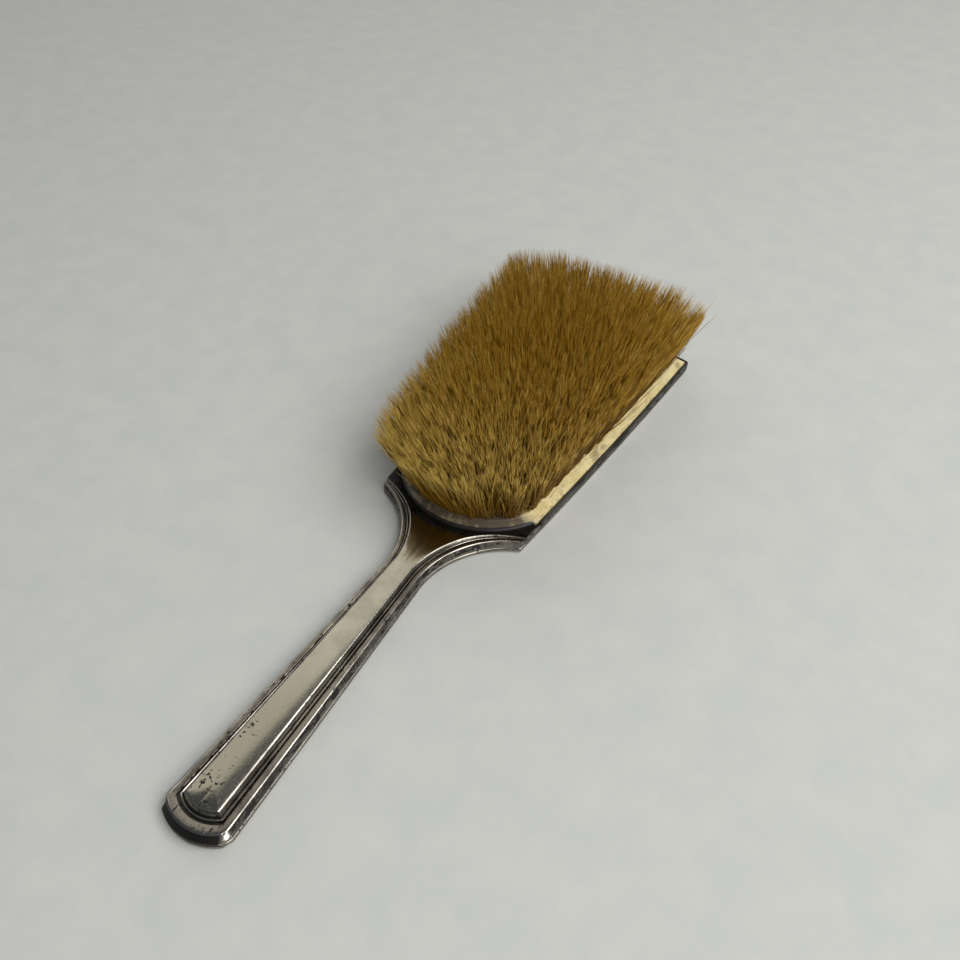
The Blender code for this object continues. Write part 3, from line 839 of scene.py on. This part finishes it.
FIELD_START = APEX + FIELD_MARGIN + KNOT_ROOT_RADIUS
FIELD_END = LENGTH - RIM_WIDTH - FIELD_MARGIN - KNOT_ROOT_RADIUS
FIELD_MIDDLE = (FIELD_START + FIELD_END) / 2
ROW_PITCH = (FIELD_END - FIELD_START) / (ROWS - 1)


def row_knots(row):
    """The places of one row's knots, spread over the field's width. Odd and even counts take turns."""
    x = FIELD_START + row * ROW_PITCH
    half = field_half_width(x, FIELD_MARGIN)
    count = round(2 * half / KNOT_PITCH) + 1
    count -= (count + row + 1) % 2
    return np.array([(x, half * (2 * i / (count - 1) - 1)) for i in range(count)])


def in_disc(chance, count, radius):
    """Random points in a disc."""
    angle = chance.uniform(0, 2 * math.pi, count)
    away = radius * np.sqrt(chance.uniform(0, 1, count))
    return np.stack([away * np.cos(angle), away * np.sin(angle)], axis=1)


def in_row(chance, count, row_x):
    """Random points over one row's strip of the field."""
    near = max(APEX + ROOT_MARGIN + ROOT_END_GAP, row_x - ROW_PITCH / 2)
    far = min(LENGTH - RIM_WIDTH - ROOT_MARGIN - ROOT_END_GAP, row_x + ROW_PITCH / 2)
    x = chance.uniform(near, far, count)
    half = np.array([field_half_width(value, ROOT_MARGIN) for value in x])
    return np.stack([x, half * chance.uniform(-1, 1, count)], axis=1)


def trim(chance, tips):
    """Pulls the tips that stand outside the trimmed outline, a long rounded box, back to it."""
    across = TIP_HALF_WIDTH + (tips[:, 0] - HEAD_START - TIP_WIDTH_PLACE) * TIP_FLARE
    from_middle = np.stack([(tips[:, 0] - FIELD_MIDDLE) / TIP_HALF_LENGTH, tips[:, 1] / across], axis=1)
    outside = np.maximum(1.0, (np.abs(from_middle) ** OUTLINE_POWER).sum(axis=1) ** (1 / OUTLINE_POWER))
    pull = 1 / (outside + (outside > 1) * np.abs(chance.normal(0, TRIM_SPREAD, len(tips))))
    return (FIELD_MIDDLE, 0) + (tips - (FIELD_MIDDLE, 0)) * pull[:, None]


def strand_lines(chance, knots):
    """The middle lines of a row's strands, and the shade of each: arrays of (strand, ring, xyz) and (strand).
    Most stand in their knot, in small locks that share a lean, and the rest fill in between."""
    count = len(knots) * STRANDS_PER_KNOT
    from_near_end = (knots[0, 0] - FIELD_START) / (FIELD_END - FIELD_START)
    knot = np.repeat(knots, STRANDS_PER_KNOT, axis=0)
    lock_count = LOCKS_PER_KNOT * len(knots)
    lock = chance.integers(0, LOCKS_PER_KNOT, count)
    lock += LOCKS_PER_KNOT * np.repeat(np.arange(len(knots)), STRANDS_PER_KNOT)
    spread = np.interp(from_near_end, *LOCK_REACH)
    loose = chance.uniform(0, 1, count) < LOOSE_SHARE
    pick = loose[:, None]
    root = np.where(pick, in_row(chance, count, knots[0, 0]), knot + in_disc(chance, count, ROOT_SPREAD))
    lean_from = np.where(pick, root, knot)
    lean = (lean_from - (FIELD_MIDDLE, 0)) * (FAN_ALONG - 1, FAN_ACROSS - 1)
    lock_place = in_disc(chance, lock_count, spread)[lock] + chance.normal(0, LOCK_SPREAD, (count, 2))
    tip = lean_from + lean + np.where(pick, chance.normal(0, LOOSE_SPREAD, (count, 2)), lock_place)
    stray = chance.uniform(0, 1, count) < STRAY_SHARE
    tip += stray[:, None] * chance.normal(0, STRAY_SPREAD, (count, 2))
    tip = np.where(stray[:, None], tip, trim(chance, tip))
    drop = np.abs(chance.normal(0, LOCK_DROP, lock_count))[lock]
    drop = drop + np.abs(chance.normal(0, STRAND_DROP, count))
    short = chance.uniform(0, 1, count) < SHORT_SHARE
    drop += short * chance.uniform(*SHORT_BY, count)
    foot = BOARD_TOP - ROOT_DEPTH
    bow = chance.normal(0, BOW_SPREAD, (count, 2))
    flick = chance.normal(0, FLICK_SPREAD, (count, 2))
    t = np.linspace(0, 1, STRAND_RINGS + 1)[None, :, None]
    flat = root[:, None] + (tip - root)[:, None] * t**0.95
    flat = flat + bow[:, None] * np.sin(math.pi * t) + flick[:, None] * t**4
    z = foot + (TIP_HEIGHT - TIP_ROOM - drop - foot)[:, None, None] * t
    outward = np.hypot((tip[:, 0] - FIELD_MIDDLE) / SHADE_REACH[0], tip[:, 1] / SHADE_REACH[1])
    shade = MIDDLE_SHADE + EDGE_PALER * outward**2 + NEAR_END_PALER * (1 - from_near_end) ** 2.5
    shade = shade + chance.normal(0, LOCK_SHADE_SPREAD, lock_count)[lock]
    shade = shade + chance.normal(0, STRAND_SHADE_SPREAD, count)
    return np.concatenate([flat, z], axis=2), np.clip(shade, 0.02, 0.98)


def strand_points(lines):
    """Each strand's points: its rings of three, from root to tip, and then the tip."""
    count, rings = len(lines), STRAND_RINGS
    along = np.gradient(lines, axis=1)
    along /= np.linalg.norm(along, axis=2, keepdims=True)
    side = np.cross(along, (0.0, 1.0, 0.0))
    side /= np.linalg.norm(side, axis=2, keepdims=True)
    other = np.cross(along, side)
    taper = np.interp(np.arange(rings), (0, rings - 1), (1.0, STRAND_TAPER)) * STRAND_RADIUS
    edges = []
    for i in range(STRAND_SIDES):
        angle = 2 * math.pi * i / STRAND_SIDES
        offset = side * math.cos(angle) + other * math.sin(angle)
        edges.append(lines[:, :rings] + offset[:, :rings] * taper[None, :, None])
    body = np.stack(edges, axis=2).reshape(count, rings * STRAND_SIDES, 3)
    return np.concatenate([body, lines[:, rings:]], axis=1)


def strand_faces():
    """One strand's quads, the ring of each quad's corners, and the triangles that close it at its tip."""
    quads, quad_rings, ends = [], [], []
    last = (STRAND_RINGS - 1) * STRAND_SIDES
    tip = STRAND_RINGS * STRAND_SIDES
    for ring in range(STRAND_RINGS - 1):
        low = ring * STRAND_SIDES
        for i in range(STRAND_SIDES):
            j = (i + 1) % STRAND_SIDES
            quads.append((low + i, low + j, low + j + STRAND_SIDES, low + i + STRAND_SIDES))
            quad_rings.append((ring, ring, ring + 1, ring + 1))
    for i in range(STRAND_SIDES):
        ends.append((last + i, last + (i + 1) % STRAND_SIDES, tip))
    return np.array(quads), np.array(quad_rings), np.array(ends)


def shade_map(shades, quad_rings, end_count):
    """Where every face corner lies in the shade map: across by the strand's shade, up by its place."""
    count, last = len(shades), (STRAND_RINGS - 1) / STRAND_RINGS
    quad_across = np.tile([0, SHADE_WIDTH, SHADE_WIDTH, 0], count * len(quad_rings))
    end_across = np.tile([0, SHADE_WIDTH, SHADE_WIDTH / 2], count * end_count)
    across = np.concatenate([
        np.repeat(shades, quad_rings.size) + quad_across,
        np.repeat(shades, end_count * 3) + end_across,
    ])
    up = np.concatenate([
        np.tile(quad_rings.ravel() / STRAND_RINGS, count),
        np.tile([last, last, 1.0], count * end_count),
    ])
    return (0.01 + 0.98 * np.stack([across, up], axis=1)).clip(0, 1).astype(np.float32)


def strand_mesh(name, lines, shades):
    """Tapered three-sided strands, each closed to a point, with their shade and place in the shade map."""
    count = len(lines)
    points = strand_points(lines)
    quads, quad_rings, ends = strand_faces()
    first = (np.arange(count) * points.shape[1])[:, None, None]
    corners = np.concatenate([(first + quads[None]).ravel(), (first + ends[None]).ravel()]).astype(np.int32)
    quad_count, end_count = count * len(quads), count * len(ends)
    end_starts = 4 * quad_count + 3 * np.arange(end_count)
    starts = np.concatenate([4 * np.arange(quad_count), end_starts]).astype(np.int32)
    mesh = bpy.data.meshes.new(name)
    mesh.vertices.add(count * points.shape[1])
    mesh.vertices.foreach_set("co", place_points(points.reshape(-1, 3)).ravel())
    mesh.loops.add(len(corners))
    mesh.loops.foreach_set("vertex_index", corners)
    mesh.polygons.add(len(starts))
    mesh.polygons.foreach_set("loop_start", starts)
    layer = mesh.uv_layers.new(name=SHADES)
    layer.data.foreach_set("uv", shade_map(shades, quad_rings, len(ends)).ravel())
    mesh.update(calc_edges=True)
    mesh.polygons.foreach_set("use_smooth", np.ones(len(starts), bool))
    return mesh


def make_bristle():
    """One piece for each row of knots."""
    hair = boar_bristle()
    for row, name in enumerate(ROW_NODES):
        chance = np.random.default_rng(FIRST_SEED + row)
        lines, shades = strand_lines(chance, row_knots(row))
        mesh = strand_mesh(name + "_strands", lines, shades)
        piece = finish_piece(f"boar_bristle_{row + 1:02d}", mesh, [hair])
        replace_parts(piece, name)


# ---------------------------------------------------------------- the stage

# In metres, in the frame.
FLOOR_REACH = 3.0  # from the middle to each side
CAMERA_PLACE = (-0.2372, -0.1162, 0.2270)
CAMERA_FORWARD = (0.6167, 0.3632, -0.6984)


def make_floor():
    """A pale sheet that the brush lies on."""
    shape = bmesh.new()
    bmesh.ops.create_grid(shape, x_segments=1, y_segments=1, size=FLOOR_REACH)
    mesh = bpy.data.meshes.new("floor")
    shape.to_mesh(mesh)
    shape.free()
    floor = bpy.data.objects.new("floor", mesh)
    bpy.context.scene.collection.objects.link(floor)
    mesh.materials.append(pale_floor())


def add_panel(name, direction, distance, width, height, radiance, colour):
    """A rectangular light of even brightness, this far from the brush in this direction and facing it."""
    lamp = bpy.data.lights.new(name, "AREA")
    lamp.shape = "RECTANGLE"
    lamp.size, lamp.size_y = width, height
    lamp.energy = math.pi * width * height * radiance
    lamp.color = linear(colour)[:3]
    lit = bpy.data.objects.new(name, lamp)
    towards = Vector(direction).normalized()
    lit.location = towards * distance
    lit.rotation_euler = towards.to_track_quat("Z", "Y").to_euler()
    bpy.context.scene.collection.objects.link(lit)


def make_lights():
    """A dim room, a broad pale wall past the head that the metal mirrors, a soft key light from the right,
    and a small lamp low on the right that lights the butt's clipped corner. The Standard view keeps the
    bristle's warm colour."""
    world = bpy.data.worlds.new("room")
    world.use_nodes = True
    background = world.node_tree.nodes["Background"]
    background.inputs[0].default_value = linear("#8d97a2")
    background.inputs[1].default_value = 0.32
    bpy.context.scene.world = world
    bpy.context.scene.view_settings.view_transform = "Standard"
    add_panel("back_wall", (0.711, 0.427, 0.559), 2.0, 4.6, 3.1, 0.70, "#fffaf0")
    add_panel("key_window", (-0.112, -0.633, 0.766), 1.2, 1.35, 0.95, 3.6, "#fffefc")
    add_panel("side_lamp", (-0.367, -0.871, 0.319), 1.2, 0.32, 0.32, 5.0, "#ffffff")


def make_camera():
    """The camera looks down along the handle towards the head."""
    camera = bpy.data.cameras.new("camera")
    camera.sensor_width = 36.0
    camera.lens = 36.0
    camera.clip_start = 0.01
    seen = bpy.data.objects.new("camera", camera)
    seen.location = CAMERA_PLACE
    seen.rotation_euler = Vector(CAMERA_FORWARD).to_track_quat("-Z", "Y").to_euler()
    bpy.context.scene.collection.objects.link(seen)
    bpy.context.scene.camera = seen


def finish_hidden_nodes():
    """The cement and the rod inside keep their solids and take their own finishes."""
    cement, steel = hidden_finishes()
    for name, finish in (("setting_cement", cement), ("handle_filler", cement), ("stiffening_rod", steel)):
        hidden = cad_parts[name]
        hidden.data.materials.clear()
        hidden.data.materials.append(finish)


def main():
    finishes = make_materials()
    make_camera()
    make_lights()
    make_floor()
    make_front_plate(finishes)
    make_back_plate(finishes)
    make_rim(finishes)
    make_board()
    make_bristle()
    finish_hidden_nodes()


main()
